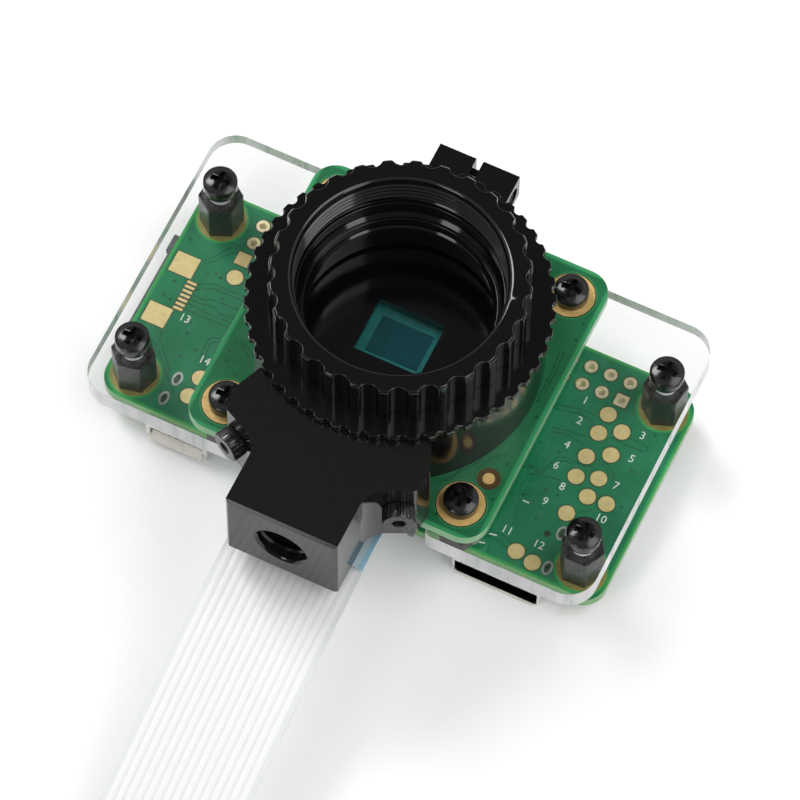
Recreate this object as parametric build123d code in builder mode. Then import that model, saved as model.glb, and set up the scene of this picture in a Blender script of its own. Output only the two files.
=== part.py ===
"""Camera module: a lens-mount camera board on a clear plate, above a small single-board computer.

Frame: millimetres, +Z up. The origin is on the lens axis, at the flange face that a lens screws
down to. +Z points out towards the lens, -Y towards the tripod block and the ribbon cable.
The computer board hangs component side down, so its plain side with the test pads faces up.
"""

import os
from math import cos, radians, sin, sqrt, tan

from build123d import *

# Stack of heights, from the lens flange down
flange_to_camera_board = 18.2
camera_board_thickness = 1.5
spacer_height = 1.5
plate_thickness = 3.0
standoff_height = 6.0
computer_board_thickness = 1.4

camera_top = -flange_to_camera_board
camera_bottom = camera_top - camera_board_thickness
plate_top = camera_bottom - spacer_height
plate_bottom = plate_top - plate_thickness
computer_top = plate_bottom - standoff_height
computer_bottom = computer_top - computer_board_thickness

# Boards and plate
camera_board_side = 38.0
camera_board_corner = 3.0
camera_hole_spacing = 30.0
computer_board_length = 65.0
computer_board_width = 30.0
computer_board_corner = 3.0
computer_hole_inset = 3.5
plate_corner = 3.5
notch_width = 24.0
notch_depth = 7.5
notch_corner = 1.2
header_pitch = 2.54
header_columns = 20
header_rows = 2
header_hole_diameter = 1.0
header_from_back_edge = 3.5

# Nylon screws, spacers and standoffs, metric 2.5
screw_diameter = 2.5
screw_hole_clearance = 0.2
screw_head_diameter = 4.1
screw_head_height = 2.0
screw_head_dome = 0.45
recess_length = 2.4
recess_width = 0.65
recess_depth = 1.0
screw_grip_in_standoff = 2.6
standoff_across_flats = 4.7
standoff_turns = [13.0, 24.0, 2.0, 21.0]
spacer_diameter = 5.0
nut_across_flats = 5.0
nut_height = 2.0
thread_play = 0.03

# Lens adapter: the fluted ring with the lens thread
adapter_radius = 15.1
adapter_height = 5.9
adapter_flutes = 28
flute_phase = 12.0
flute_cutter_radius = 1.3
flute_depth = 0.8
lens_thread_radius = 12.4
lens_thread_depth = 4.8
lens_lead_radius = 12.95
lens_lead_depth = 0.35
adapter_throat_radius = 11.9
adapter_throat_depth = 7.2
adapter_tail_radius = 12.4
adapter_tail_length = 3.9
adapter_tail_bore = 11.1
adapter_edge = 0.25

# Back focus ring: the toothed flange with a barrel that screws into the housing
focus_flange_radius = 17.9
focus_flange_height = 1.1
focus_teeth = 50
tooth_phase = 1.1
tooth_cutter_radius = 0.67
tooth_depth = 0.5
barrel_radius = 15.0
barrel_bottom_gap = 0.6
barrel_step_radius = 11.9
focus_play = 0.1
focus_under_gap = 0.1

# Housing, seated on the camera board
housing_radius = 17.0
housing_floor_height = 3.0
housing_floor_thickness = 0.8
window_x = 8.45
window_y = 7.15
filter_side = 11.3
filter_thickness = 0.75
filter_play = 0.1
sensor_cavity_x = 14.0
sensor_cavity_y = 12.6
housing_edge = 0.3

# Clamp ears at the back of the housing, with the lock screw
ear_half_span = 5.1
ear_reach = 21.5
ear_drop = 0.9
ear_height = 4.2
ear_gap = 0.9
lock_screw_diameter = 1.6
lock_head_diameter = 2.8
lock_head_height = 1.6
lock_screw_length = 7.2
lock_head_sink = 0.25
lock_from_ear_end = 2.1
lock_socket_flats = 1.3
lock_socket_depth = 0.8

# Tripod block with its two wings
block_width = 14.0
block_front = 31.1
block_drop = 0.8
wing_lift = 0.1
block_fillet = 3.2
block_edge = 0.35
wing_seat_radius = 23.8
wing_seat_angle = 25.4
wing_seat_outer = 1.9
wing_corner = 0.5
wing_side_round = 2.0
saddle_play = 0.05
wing_side_lean = 0.4
wing_side_length = 2.9
wing_root_x = 10.4
tripod_hole_radius = 3.05
tripod_hole_depth = 10.0
tripod_hole_mouth = 3.35
cap_screw_diameter = 2.0
cap_head_diameter = 3.7
cap_head_height = 1.9
cap_socket_flats = 1.5
cap_socket_depth = 1.0
cap_screw_end_gap = 0.7
cap_screw_height = 6.5

# Screws that hold the housing from behind the camera board
housing_screw_radius = 12.2
housing_screw_length = 3.4
housing_screw_count = 4
housing_socket_depth = 0.8
housing_head_height = 1.2
housing_head_diameter = 3.8

# Image sensor
sensor_x = 12.2
sensor_y = 10.6
sensor_height = 0.8
sensor_glass_x = 9.4
sensor_glass_y = 7.8
sensor_glass_thickness = 0.4
gasket_wall = 0.6
gasket_play = 0.1

# Ribbon connector and latch behind the camera board
camera_socket_length = 20.6
camera_socket_depth = 4.2
camera_socket_height = 2.5
camera_socket_edge_gap = 0.8
camera_socket_slot = 0.9
latch_play = 0.1
latch_arm = 0.8
latch_arm_reach = 3.6
latch_bar = 1.4
latch_height = 0.7
latch_rail_height = 1.6

# Ribbon cable
ribbon_width = 16.0
ribbon_thickness = 0.3
ribbon_tape_length = 11.6
ribbon_tape_thickness = 0.2
ribbon_below_board = 1.25
ribbon_side_play = 0.15
ribbon_grip = 3.4

# Small parts behind the camera board
rear_chip_side = 2.2
rear_chip_height = 0.8
rear_chip_x = 6.0
rear_chip_y = 3.4
crystal_x = 2.5
crystal_y = 2.0
crystal_height = 0.7
passive_length = 1.0
passive_width = 0.5
passive_height = 0.45
passive_pitch = 1.8

# Sockets and chips under the computer board
hdmi_from_right_end = 12.4
hdmi_width = 11.2
hdmi_depth = 7.5
hdmi_height = 3.2
hdmi_corner = 0.8
hdmi_tongue_width = 8.0
usb_tongue_width = 3.8
tongue_thickness = 0.5
tongue_setback = 0.9
usb_power_from_left_end = 11.0
usb_pair_spacing = 12.6
usb_width = 7.6
usb_depth = 5.6
usb_height = 2.6
usb_lip_width = 8.0
usb_lip_height = 2.9
usb_lip_depth = 0.6
usb_mouth_width = 6.9
usb_mouth_height = 1.85
socket_overhang = 0.8
socket_wall = 0.35
card_slot_length = 11.4
card_slot_width = 12.0
card_slot_height = 1.4
card_slot_edge_gap = 0.6
card_mouth_height = 0.85
card_mouth_width = 11.1
edge_socket_length = 13.2
edge_socket_depth = 3.4
edge_socket_height = 1.6
edge_socket_edge_gap = 1.0
edge_socket_slot = 0.5
edge_socket_cheek = 0.8
edge_latch_bar = 0.9
edge_latch_arm = 0.6
edge_latch_reach = 2.4
edge_latch_overhang = 1.1
processor_side = 12.0
processor_height = 1.2
processor_x = -2.5
processor_y = 0.8
power_chip_side = 4.0
power_chip_height = 0.9
power_chip_x = -18.0

screw_hole_diameter = screw_diameter + screw_hole_clearance
standoff_bore = screw_diameter + thread_play
computer_hole_spacing_x = computer_board_length - 2 * computer_hole_inset
computer_hole_spacing_y = computer_board_width - 2 * computer_hole_inset
hdmi_x = computer_board_length / 2 - hdmi_from_right_end
usb_power_x = usb_power_from_left_end - computer_board_length / 2
usb_data_x = usb_power_x + usb_pair_spacing
lock_centre_y = ear_reach - lock_from_ear_end
plate_length = computer_board_length
plate_width = camera_board_side
cap_screw_length = wing_seat_radius - barrel_radius - focus_play - cap_screw_end_gap
focus_flange_top = -adapter_height
focus_flange_bottom = focus_flange_top - focus_flange_height
housing_top = focus_flange_bottom - focus_under_gap
housing_floor_top = camera_top + housing_floor_height
block_bottom = camera_top - block_drop
cap_screw_z = camera_top + cap_screw_height
lock_centre_z = housing_top - ear_drop - ear_height / 2
camera_board_front = -camera_board_side / 2
ribbon_z = camera_bottom - ribbon_below_board
tail_bottom = -adapter_height - adapter_tail_length
barrel_bottom = housing_floor_top + barrel_bottom_gap
tripod_hole_z = (housing_top + block_bottom) / 2
seat_x = wing_seat_radius * sin(radians(wing_seat_angle))
seat_y = -wing_seat_radius * cos(radians(wing_seat_angle))
sensor_top = camera_top + sensor_height
filter_bottom = housing_floor_top - housing_floor_thickness - filter_thickness
card_socket_near = computer_board_length / 2 - card_slot_edge_gap - card_slot_length
surface = computer_bottom - hdmi_height

# Route of the ribbon's middle, as Y and Z, and the radius of each bend
ribbon_points = [
    (camera_board_front + camera_socket_edge_gap + ribbon_grip, ribbon_z),
    (-34.5, ribbon_z),
    (-83.0, surface + ribbon_thickness / 2),
    (-123.0, surface + 0.6),
    (-162.0, surface + 2.4),
]
ribbon_bends = [62.0, 130.0, 400.0]

os.makedirs("parts", exist_ok=True)


def write(part, name):
    """Labels a finished piece and writes its STEP file."""
    part.label = name
    export_step(part, f"parts/{name}.step")


def pan_screw(under_head):
    """A pan-head screw with a cross recess: its head stands on z = 0, its shank hangs below."""
    dome_radius = (screw_head_diameter ** 2 / 4 + screw_head_dome ** 2) / (2 * screw_head_dome)
    with BuildPart() as screw:
        with BuildSketch(Plane.XZ):
            with BuildLine():
                Polyline((0, -under_head), (screw_diameter / 2, -under_head), (screw_diameter / 2, 0),
                         (screw_head_diameter / 2, 0), (screw_head_diameter / 2, screw_head_height - screw_head_dome))
                RadiusArc((screw_head_diameter / 2, screw_head_height - screw_head_dome), (0, screw_head_height),
                          -dome_radius)
                Line((0, screw_head_height), (0, -under_head))
            make_face()
        revolve(axis=Axis.Z)
        with BuildSketch(Plane.XY.offset(screw_head_height - recess_depth)):
            Rectangle(recess_length, recess_width)
            Rectangle(recess_width, recess_length)
        extrude(amount=recess_depth, mode=Mode.SUBTRACT)
    return screw.part


def cap_screw(diameter, length, head_diameter, head_height, socket_flats, socket_depth):
    """A socket cap screw along +Z: its head spans z = 0 to head_height, its shank hangs below."""
    with BuildPart() as screw:
        Cylinder(diameter / 2, length, align=(Align.CENTER, Align.CENTER, Align.MAX))
        Cylinder(head_diameter / 2, head_height, align=(Align.CENTER, Align.CENTER, Align.MIN))
        with BuildSketch(Plane.XY.offset(head_height)):
            RegularPolygon(socket_flats / 2, 6, major_radius=False)
        extrude(amount=-socket_depth, mode=Mode.SUBTRACT)
    return screw.part


# Clear mounting plate, notched at the front for the ribbon connector
with BuildPart() as mounting_plate:
    with BuildSketch(Plane.XY.offset(plate_bottom)):
        RectangleRounded(plate_length, plate_width, plate_corner)
        with Locations((0, -plate_width / 2)):
            Rectangle(notch_width, 2 * notch_depth, mode=Mode.SUBTRACT)
        with GridLocations(computer_hole_spacing_x, computer_hole_spacing_y, 2, 2):
            Circle(screw_hole_diameter / 2, mode=Mode.SUBTRACT)
        with GridLocations(camera_hole_spacing, camera_hole_spacing, 2, 2):
            Circle(screw_hole_diameter / 2, mode=Mode.SUBTRACT)
    extrude(amount=plate_thickness)
    notch_edges = mounting_plate.edges().filter_by(Axis.Z).filter_by(
        lambda edge: abs(abs(edge.center().X) - notch_width / 2) < 0.01
    )
    fillet(notch_edges, notch_corner)
write(mounting_plate.part, "mounting_plate")

# Computer board, with the empty header holes along its back edge
with BuildPart() as computer_board:
    with BuildSketch(Plane.XY.offset(computer_bottom)):
        RectangleRounded(computer_board_length, computer_board_width, computer_board_corner)
        with GridLocations(computer_hole_spacing_x, computer_hole_spacing_y, 2, 2):
            Circle(screw_hole_diameter / 2, mode=Mode.SUBTRACT)
        with Locations((0, computer_board_width / 2 - header_from_back_edge)):
            with GridLocations(header_pitch, header_pitch, header_columns, header_rows):
                Circle(header_hole_diameter / 2, mode=Mode.SUBTRACT)
    extrude(amount=computer_board_thickness)
write(computer_board.part, "computer_board")

# Standoffs between plate and computer board
with BuildPart() as hex_standoffs:
    with BuildSketch(Plane.XY.offset(computer_top)):
        for spot, turn in zip(GridLocations(computer_hole_spacing_x, computer_hole_spacing_y, 2, 2), standoff_turns):
            with Locations(spot):
                RegularPolygon(standoff_across_flats / 2, 6, major_radius=False, rotation=turn)
                Circle(standoff_bore / 2, mode=Mode.SUBTRACT)
    extrude(amount=standoff_height)
write(hex_standoffs.part, "hex_standoffs")

# Nylon screws down through the plate into the standoffs
plate_screw = pan_screw(plate_thickness + screw_grip_in_standoff)
with BuildPart() as plate_screws:
    with Locations((0, 0, plate_top)):
        with GridLocations(computer_hole_spacing_x, computer_hole_spacing_y, 2, 2):
            add(plate_screw)
write(plate_screws.part, "plate_screws")

# The same screws up through the computer board
board_screw = pan_screw(computer_board_thickness + screw_grip_in_standoff).rotate(Axis.X, 180)
with BuildPart() as board_screws:
    with Locations((0, 0, computer_bottom)):
        with GridLocations(computer_hole_spacing_x, computer_hole_spacing_y, 2, 2):
            add(board_screw)
write(board_screws.part, "board_screws")

# Camera board
with BuildPart() as camera_board:
    with BuildSketch(Plane.XY.offset(camera_bottom)):
        RectangleRounded(camera_board_side, camera_board_side, camera_board_corner)
        with GridLocations(camera_hole_spacing, camera_hole_spacing, 2, 2):
            Circle(screw_hole_diameter / 2, mode=Mode.SUBTRACT)
        with PolarLocations(housing_screw_radius, housing_screw_count, start_angle=45):
            Circle(cap_screw_diameter / 2 + screw_hole_clearance / 2, mode=Mode.SUBTRACT)
    extrude(amount=camera_board_thickness)
write(camera_board.part, "camera_board")

# Spacers, screws and nuts that carry the camera board on the plate
with BuildPart() as camera_spacers:
    with BuildSketch(Plane.XY.offset(plate_top)):
        with GridLocations(camera_hole_spacing, camera_hole_spacing, 2, 2):
            Circle(spacer_diameter / 2)
            Circle(screw_hole_diameter / 2, mode=Mode.SUBTRACT)
    extrude(amount=spacer_height)
write(camera_spacers.part, "camera_spacers")

camera_screw = pan_screw(camera_top - plate_bottom + nut_height)
with BuildPart() as camera_screws:
    with Locations((0, 0, camera_top)):
        with GridLocations(camera_hole_spacing, camera_hole_spacing, 2, 2):
            add(camera_screw)
write(camera_screws.part, "camera_screws")

with BuildPart() as camera_nuts:
    with BuildSketch(Plane.XY.offset(plate_bottom - nut_height)):
        with GridLocations(camera_hole_spacing, camera_hole_spacing, 2, 2):
            RegularPolygon(nut_across_flats / 2, 6, major_radius=False)
            Circle(standoff_bore / 2, mode=Mode.SUBTRACT)
    extrude(amount=nut_height)
write(camera_nuts.part, "camera_nuts")

# Housing: a cup on the camera board, with the filter window in its floor and the clamp ears
with BuildPart() as lens_mount_housing:
    with BuildSketch(Plane.XY.offset(camera_top)):
        Circle(housing_radius)
    extrude(amount=housing_top - camera_top)
    chamfer(lens_mount_housing.edges().group_by(Axis.Z)[-1], housing_edge)
    ear_top = housing_top - ear_drop
    with BuildSketch(Plane.XY.offset(ear_top)):
        with Locations((0, housing_radius / 2)):
            Rectangle(2 * ear_half_span, 2 * ear_reach - housing_radius, align=(Align.CENTER, Align.MIN))
        with Locations((0, ear_reach)):
            Rectangle(4 * ear_half_span, 2 * ear_reach, align=(Align.CENTER, Align.MIN), mode=Mode.SUBTRACT)
    extrude(amount=-ear_height)
    with BuildSketch(Plane.XY.offset(housing_top)):
        Circle(barrel_radius + focus_play)
    extrude(amount=housing_floor_top - housing_top, mode=Mode.SUBTRACT)
    with BuildSketch(Plane.XY.offset(housing_floor_top)):
        Rectangle(window_x, window_y)
    extrude(amount=-housing_floor_thickness, mode=Mode.SUBTRACT)
    with BuildSketch(Plane.XY.offset(housing_floor_top - housing_floor_thickness)):
        Rectangle(filter_side + filter_play, filter_side + filter_play)
    extrude(amount=-filter_thickness - filter_play, mode=Mode.SUBTRACT)
    with BuildSketch(Plane.XY.offset(camera_top)):
        Rectangle(sensor_cavity_x, sensor_cavity_y)
    extrude(amount=housing_floor_height - housing_floor_thickness - filter_thickness - filter_play,
            mode=Mode.SUBTRACT)
    with Locations((0, ear_reach, ear_top)):
        Box(ear_gap, 2 * (ear_reach - barrel_radius), ear_height + ear_drop,
            align=(Align.CENTER, Align.CENTER, Align.CENTER), mode=Mode.SUBTRACT)
    with BuildSketch(Plane.YZ.offset(-ear_half_span)):
        with Locations((lock_centre_y, lock_centre_z)):
            Circle(lock_screw_diameter / 2 + thread_play)
    extrude(amount=2 * ear_half_span, mode=Mode.SUBTRACT)
    with BuildSketch(Plane.YZ.offset(ear_half_span)):
        with Locations((lock_centre_y, lock_centre_z)):
            Circle(lock_head_diameter / 2 + thread_play)
    extrude(amount=-lock_head_height - lock_head_sink, mode=Mode.SUBTRACT)
    with BuildSketch(Plane.XY.offset(camera_top)):
        with PolarLocations(housing_screw_radius, housing_screw_count, start_angle=45):
            Circle(cap_screw_diameter / 2 + thread_play)
    extrude(amount=housing_screw_length - camera_board_thickness + screw_hole_clearance, mode=Mode.SUBTRACT)
    for side in (1, -1):
        screw_line = Plane((side * seat_x, seat_y, cap_screw_z), z_dir=(side * seat_x, seat_y, 0))
        with BuildSketch(screw_line):
            Circle(cap_screw_diameter / 2 + thread_play)
        extrude(amount=-cap_screw_length - focus_play, mode=Mode.SUBTRACT)
write(lens_mount_housing.part, "lens_mount_housing")

# Lens adapter: a fluted ring with the lens thread inside, screwed down into the back focus ring
with BuildPart() as mount_adapter:
    with BuildSketch(Plane.XZ):
        with BuildLine():
            Polyline((lens_lead_radius, 0), (adapter_radius - adapter_edge, 0), (adapter_radius, -adapter_edge),
                     (adapter_radius, -adapter_height), (adapter_tail_radius, -adapter_height),
                     (adapter_tail_radius, tail_bottom), (adapter_tail_bore, tail_bottom),
                     (adapter_tail_bore, -adapter_throat_depth), (adapter_throat_radius, -adapter_throat_depth),
                     (adapter_throat_radius, -lens_thread_depth), (lens_thread_radius, -lens_thread_depth),
                     (lens_thread_radius, -lens_lead_depth), (lens_lead_radius, 0))
        make_face()
    revolve(axis=Axis.Z)
    with BuildSketch(Plane.XY):
        with PolarLocations(adapter_radius - flute_depth + flute_cutter_radius, adapter_flutes, start_angle=flute_phase):
            Circle(flute_cutter_radius)
    extrude(amount=-adapter_height, mode=Mode.SUBTRACT)
write(mount_adapter.part, "mount_adapter")

# Back focus ring: a toothed flange over the housing, and a barrel that screws down inside it
with BuildPart() as back_focus_ring:
    with BuildSketch(Plane.XZ):
        with BuildLine():
            Polyline((adapter_tail_radius + focus_play, focus_flange_top), (focus_flange_radius, focus_flange_top),
                     (focus_flange_radius, focus_flange_bottom), (barrel_radius, focus_flange_bottom),
                     (barrel_radius, barrel_bottom), (barrel_step_radius, barrel_bottom),
                     (barrel_step_radius, tail_bottom - focus_play),
                     (adapter_tail_radius + focus_play, tail_bottom - focus_play),
                     (adapter_tail_radius + focus_play, focus_flange_top))
        make_face()
    revolve(axis=Axis.Z)
    with BuildSketch(Plane.XY.offset(focus_flange_top)):
        with PolarLocations(focus_flange_radius - tooth_depth + tooth_cutter_radius, focus_teeth, start_angle=tooth_phase):
            Circle(tooth_cutter_radius)
    extrude(amount=-focus_flange_height, mode=Mode.SUBTRACT)
write(back_focus_ring.part, "back_focus_ring")

# Tripod block with two wings that hug the housing
seat_slope = tan(radians(wing_seat_angle))
wing_root_y = -sqrt(housing_radius ** 2 - wing_root_x ** 2) + focus_play
wing_outer_x = seat_x + wing_seat_outer * cos(radians(wing_seat_angle))
wing_outer_y = seat_y + (wing_outer_x - seat_x) * seat_slope
wing_outline = [
    (block_width / 2, -block_front),
    (block_width / 2, seat_y + (block_width / 2 - seat_x) * seat_slope),
    (wing_outer_x, wing_outer_y),
    (wing_outer_x + wing_side_lean, wing_outer_y + wing_side_length),
    (wing_root_x, wing_root_y),
]
with BuildPart() as tripod_mount:
    with BuildSketch(Plane.XY.offset(camera_top + wing_lift)):
        with BuildLine():
            Polyline(*wing_outline, *[(-x, y) for x, y in reversed(wing_outline)], close=True)
        make_face()
    extrude(amount=housing_top - camera_top - wing_lift)
    upright = tripod_mount.edges().filter_by(Axis.Z)
    fillet(upright.filter_by(lambda edge: abs(edge.center().Y - wing_outline[1][1]) < 0.01), block_fillet)
    upright = tripod_mount.edges().filter_by(Axis.Z)
    fillet(upright.filter_by(lambda edge: abs(edge.center().Y - wing_outline[2][1]) < 0.01), wing_corner)
    upright = tripod_mount.edges().filter_by(Axis.Z)
    fillet(upright.filter_by(lambda edge: abs(edge.center().Y - wing_outline[3][1]) < 0.01), wing_side_round)
    with BuildSketch(Plane.XY.offset(block_bottom)):
        with Locations((0, -block_front)):
            Rectangle(block_width, block_front + camera_board_front - focus_play * 2,
                      align=(Align.CENTER, Align.MIN))
    extrude(amount=block_drop + wing_lift)
    front_face = tripod_mount.faces().sort_by(Axis.Y)[0]
    chamfer(front_face.edges(), block_edge)
    with BuildSketch(Plane.XY.offset(block_bottom)):
        Circle(housing_radius + saddle_play)
    extrude(amount=housing_top - block_bottom, mode=Mode.SUBTRACT)
    with BuildSketch(Plane.XZ.offset(block_front)):
        with Locations((0, tripod_hole_z)):
            Circle(tripod_hole_mouth)
    extrude(amount=-(tripod_hole_mouth - tripod_hole_radius), taper=45, mode=Mode.SUBTRACT)
    with BuildSketch(Plane.XZ.offset(block_front)):
        with Locations((0, tripod_hole_z)):
            Circle(tripod_hole_radius)
    extrude(amount=-tripod_hole_depth, mode=Mode.SUBTRACT)
    for side in (1, -1):
        with BuildSketch(Plane((side * seat_x, seat_y, cap_screw_z), z_dir=(side * seat_x, seat_y, 0))):
            Circle(cap_screw_diameter / 2 + thread_play)
        extrude(amount=-(wing_seat_radius - housing_radius + saddle_play), mode=Mode.SUBTRACT)
write(tripod_mount.part, "tripod_mount")

# Cap screws through the wings into the housing
cap_screw_piece = cap_screw(cap_screw_diameter, cap_screw_length, cap_head_diameter, cap_head_height,
                            cap_socket_flats, cap_socket_depth)
with BuildPart() as tripod_screws:
    for side in (1, -1):
        seat = Plane((side * seat_x, seat_y, cap_screw_z), z_dir=(side * seat_x, seat_y, 0))
        with Locations(seat.location):
            add(cap_screw_piece)
write(tripod_screws.part, "tripod_screws")

# Lock screw that pinches the ears
lock_seat = Plane((ear_half_span - lock_head_sink - lock_head_height, lock_centre_y, lock_centre_z), z_dir=(1, 0, 0))
with BuildPart() as lock_screw:
    with Locations(lock_seat.location):
        add(cap_screw(lock_screw_diameter, lock_screw_length, lock_head_diameter, lock_head_height,
                      lock_socket_flats, lock_socket_depth))
write(lock_screw.part, "lock_screw")

# Low screws up through the camera board into the housing
with BuildPart() as housing_screws:
    with BuildSketch(Plane.XY.offset(camera_bottom)):
        with PolarLocations(housing_screw_radius, housing_screw_count, start_angle=45):
            Circle(housing_head_diameter / 2)
    extrude(amount=-housing_head_height)
    with BuildSketch(Plane.XY.offset(camera_bottom)):
        with PolarLocations(housing_screw_radius, housing_screw_count, start_angle=45):
            Circle(cap_screw_diameter / 2)
    extrude(amount=housing_screw_length)
    with BuildSketch(Plane.XY.offset(camera_bottom - housing_head_height)):
        with PolarLocations(housing_screw_radius, housing_screw_count, start_angle=45):
            RegularPolygon(cap_socket_flats / 2, 6, major_radius=False)
    extrude(amount=housing_socket_depth, mode=Mode.SUBTRACT)
write(housing_screws.part, "housing_screws")

# Image sensor, its glass, the rubber gasket on it and the filter glass above
with BuildPart() as image_sensor:
    with Locations((0, 0, camera_top)):
        Box(sensor_x, sensor_y, sensor_height, align=(Align.CENTER, Align.CENTER, Align.MIN))
write(image_sensor.part, "image_sensor")

with BuildPart() as sensor_glass:
    with Locations((0, 0, sensor_top)):
        Box(sensor_glass_x, sensor_glass_y, sensor_glass_thickness, align=(Align.CENTER, Align.CENTER, Align.MIN))
write(sensor_glass.part, "sensor_glass")

with BuildPart() as sensor_gasket:
    with BuildSketch(Plane.XY.offset(sensor_top)):
        Rectangle(sensor_glass_x + 2 * (gasket_play + gasket_wall), sensor_glass_y + 2 * (gasket_play + gasket_wall))
        Rectangle(sensor_glass_x + 2 * gasket_play, sensor_glass_y + 2 * gasket_play, mode=Mode.SUBTRACT)
    extrude(amount=filter_bottom - sensor_top)
write(sensor_gasket.part, "sensor_gasket")

with BuildPart() as filter_glass:
    with Locations((0, 0, filter_bottom)):
        Box(filter_side, filter_side, filter_thickness, align=(Align.CENTER, Align.CENTER, Align.MIN))
write(filter_glass.part, "filter_glass")

# Ribbon connector behind the camera board, open towards -Y, and its latch
camera_socket_front = camera_board_front + camera_socket_edge_gap
with BuildPart() as camera_ribbon_socket:
    with Locations((0, camera_socket_front, camera_bottom)):
        Box(camera_socket_length, camera_socket_depth, camera_socket_height,
            align=(Align.CENTER, Align.MIN, Align.MAX))
    with Locations((0, camera_socket_front, ribbon_z)):
        Box(ribbon_width + 2 * ribbon_side_play, 2 * ribbon_grip, camera_socket_slot, mode=Mode.SUBTRACT)
write(camera_ribbon_socket.part, "camera_ribbon_socket")

with BuildPart() as camera_ribbon_latch:
    latch_side = camera_socket_length / 2 + latch_play
    latch_bottom = ribbon_z + ribbon_thickness / 2 + ribbon_tape_thickness + latch_play
    with Locations((0, camera_socket_front - latch_play, latch_bottom)):
        Box(2 * (latch_side + latch_arm), latch_bar, latch_height, align=(Align.CENTER, Align.MAX, Align.MIN))
    for side in (1, -1):
        with Locations((side * (latch_side + latch_arm / 2), camera_socket_front - latch_play - latch_bar, ribbon_z)):
            Box(latch_arm, latch_bar + latch_arm_reach, latch_rail_height,
                align=(Align.CENTER, Align.MIN, Align.CENTER))
write(camera_ribbon_latch.part, "camera_ribbon_latch")

# Small parts behind the camera board
with BuildPart() as camera_regulators:
    with Locations((rear_chip_x, rear_chip_y, camera_bottom), (rear_chip_x, -rear_chip_y, camera_bottom)):
        Box(rear_chip_side, rear_chip_side, rear_chip_height, align=(Align.CENTER, Align.CENTER, Align.MAX))
write(camera_regulators.part, "camera_regulators")

with BuildPart() as camera_crystal:
    with Locations((-rear_chip_x, rear_chip_y, camera_bottom)):
        Box(crystal_x, crystal_y, crystal_height, align=(Align.CENTER, Align.CENTER, Align.MAX))
write(camera_crystal.part, "camera_crystal")

with BuildPart() as camera_passives:
    with Locations((0, 0, camera_bottom)):
        with GridLocations(2 * passive_pitch, passive_pitch, 3, 4):
            Box(passive_length, passive_width, passive_height, align=(Align.CENTER, Align.CENTER, Align.MAX))
write(camera_passives.part, "camera_passives")

# Flat ribbon cable: out of the connector, down to the surface and along it
with BuildPart() as ribbon_cable:
    with BuildLine():
        route = FilletPolyline(*[(0, y, z) for y, z in ribbon_points], radius=ribbon_bends)
    with BuildSketch(Plane(route @ 0, x_dir=(1, 0, 0), z_dir=route % 0)):
        Rectangle(ribbon_width, ribbon_thickness)
    sweep()
write(ribbon_cable.part, "ribbon_cable")

# The stiffener tapes on its two ends
far_end = Plane(route @ 1, x_dir=(1, 0, 0), z_dir=(route % 1).cross(Vector(1, 0, 0)))
with BuildPart() as ribbon_stiffener:
    with Locations((0, camera_socket_front + ribbon_grip, ribbon_z + ribbon_thickness / 2)):
        Box(ribbon_width, ribbon_tape_length, ribbon_tape_thickness, align=(Align.CENTER, Align.MAX, Align.MIN))
    with Locations(far_end.offset(ribbon_thickness / 2).location):
        Box(ribbon_width, ribbon_tape_length, ribbon_tape_thickness, align=(Align.CENTER, Align.MIN, Align.MIN))
write(ribbon_stiffener.part, "ribbon_stiffener")

# Mini video socket and two micro USB sockets at the front edge, under the computer board
socket_front = -computer_board_width / 2 - socket_overhang
with BuildPart() as video_socket:
    with Locations((hdmi_x, socket_front, computer_bottom)):
        Box(hdmi_width, hdmi_depth, hdmi_height, align=(Align.CENTER, Align.MIN, Align.MAX))
    lower = video_socket.edges().filter_by(Axis.Y).group_by(Axis.Z)[0]
    chamfer(lower, hdmi_corner)
    offset(amount=-socket_wall, openings=video_socket.faces().sort_by(Axis.Y)[0])
write(video_socket.part, "video_socket")

with BuildPart() as video_tongue:
    with Locations((hdmi_x, socket_front + hdmi_depth - socket_wall, computer_bottom - hdmi_height / 2)):
        Box(hdmi_tongue_width, hdmi_depth - socket_wall - tongue_setback, tongue_thickness,
            align=(Align.CENTER, Align.MAX, Align.CENTER))
write(video_tongue.part, "video_tongue")

with BuildPart() as usb_sockets:
    for x in (usb_power_x, usb_data_x):
        with Locations((x, socket_front, computer_bottom)):
            Box(usb_width, usb_depth, usb_height, align=(Align.CENTER, Align.MIN, Align.MAX))
        with Locations((x, socket_front, computer_bottom - usb_height / 2)):
            Box(usb_lip_width, usb_lip_depth, usb_lip_height, align=(Align.CENTER, Align.MIN, Align.CENTER))
            Box(usb_mouth_width, 2 * (usb_depth - socket_wall), usb_mouth_height, mode=Mode.SUBTRACT)
write(usb_sockets.part, "usb_sockets")

with BuildPart() as usb_tongues:
    for x in (usb_power_x, usb_data_x):
        with Locations((x, socket_front + usb_depth - socket_wall, computer_bottom - usb_height / 2)):
            Box(usb_tongue_width, usb_depth - socket_wall - tongue_setback, tongue_thickness,
                align=(Align.CENTER, Align.MAX, Align.CENTER))
write(usb_tongues.part, "usb_tongues")

# Memory card socket at the right edge
with BuildPart() as card_socket:
    with Locations((computer_board_length / 2 - card_slot_edge_gap, 0, computer_bottom)):
        Box(card_slot_length, card_slot_width, card_slot_height, align=(Align.MAX, Align.CENTER, Align.MAX))
    with Locations((computer_board_length / 2 - card_slot_edge_gap, 0, computer_bottom - card_slot_height / 2)):
        Box(2 * (card_slot_length - socket_wall), card_mouth_width, card_mouth_height, mode=Mode.SUBTRACT)
write(card_socket.part, "card_socket")

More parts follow.
